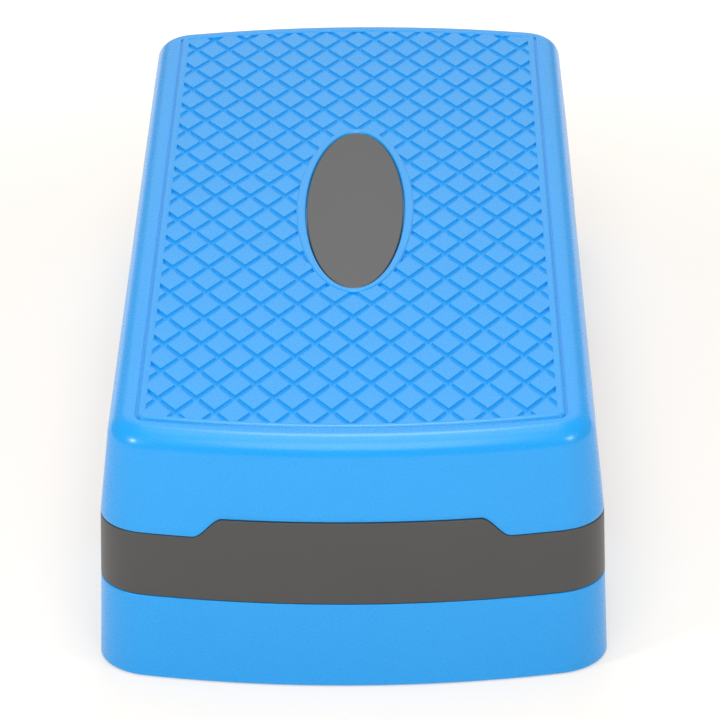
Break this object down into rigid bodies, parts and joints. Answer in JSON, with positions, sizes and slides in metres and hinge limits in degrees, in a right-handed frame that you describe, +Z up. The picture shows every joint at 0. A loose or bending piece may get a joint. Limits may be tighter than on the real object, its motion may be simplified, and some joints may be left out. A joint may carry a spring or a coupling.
{
  "type": "mounting block",
  "caption": "Low step platform: a textured non-slip deck with an oval inlay, on end feet that stand in lift-off risers.",
  "frame": {"origin": "on the floor, under the middle of the step", "axes": "+Z up, Y along the step with the front end at -Y, X across it"},
  "size_m": [0.2878, 0.6698, 0.15],
  "materials": {
    "deck_plastic": "satin moulded",
    "riser_plastic": "satin moulded",
    "foot_plastic": "satin moulded",
    "badge_plastic": "fine matte",
    "pad_rubber": "matte",
    "screw_steel": "zinc plated"
  },
  "bodies": {
    "front_riser": {"front_riser": "riser_plastic", "front_riser_pad_1": "pad_rubber", "front_riser_pad_2": "pad_rubber", "front_riser_pad_3": "pad_rubber", "front_riser_pad_4": "pad_rubber"},
    "platform": {"deck": "deck_plastic", "badge": "badge_plastic", "front_foot": "foot_plastic", "front_foot_pad_1": "pad_rubber", "front_screw_1": "screw_steel", "front_foot_pad_2": "pad_rubber", "front_screw_2": "screw_steel", "front_foot_pad_3": "pad_rubber", "front_screw_3": "screw_steel", "front_foot_pad_4": "pad_rubber", "front_screw_4": "screw_steel", "back_foot": "foot_plastic", "back_foot_pad_1": "pad_rubber", "back_screw_1": "screw_steel", "back_foot_pad_2": "pad_rubber", "back_screw_2": "screw_steel", "back_foot_pad_3": "pad_rubber", "back_screw_3": "screw_steel", "back_foot_pad_4": "pad_rubber", "back_screw_4": "screw_steel"},
    "back_riser": {"back_riser": "riser_plastic", "back_riser_pad_1": "pad_rubber", "back_riser_pad_2": "pad_rubber", "back_riser_pad_3": "pad_rubber", "back_riser_pad_4": "pad_rubber"}
  },
  "joints": [
    {"name": "platform_lift", "type": "slide", "parent": "front_riser", "child": "platform", "axis": [0, 0, 1], "range_m": [0, 0.08]},
    {"name": "back_riser_drop", "type": "slide", "parent": "platform", "child": "back_riser", "axis": [0, 0, -1], "range_m": [0, 0.08]}
  ],
  "couplings": [
    {"joint": "back_riser_drop", "follows": "platform_lift", "ratio": 1}
  ]
}
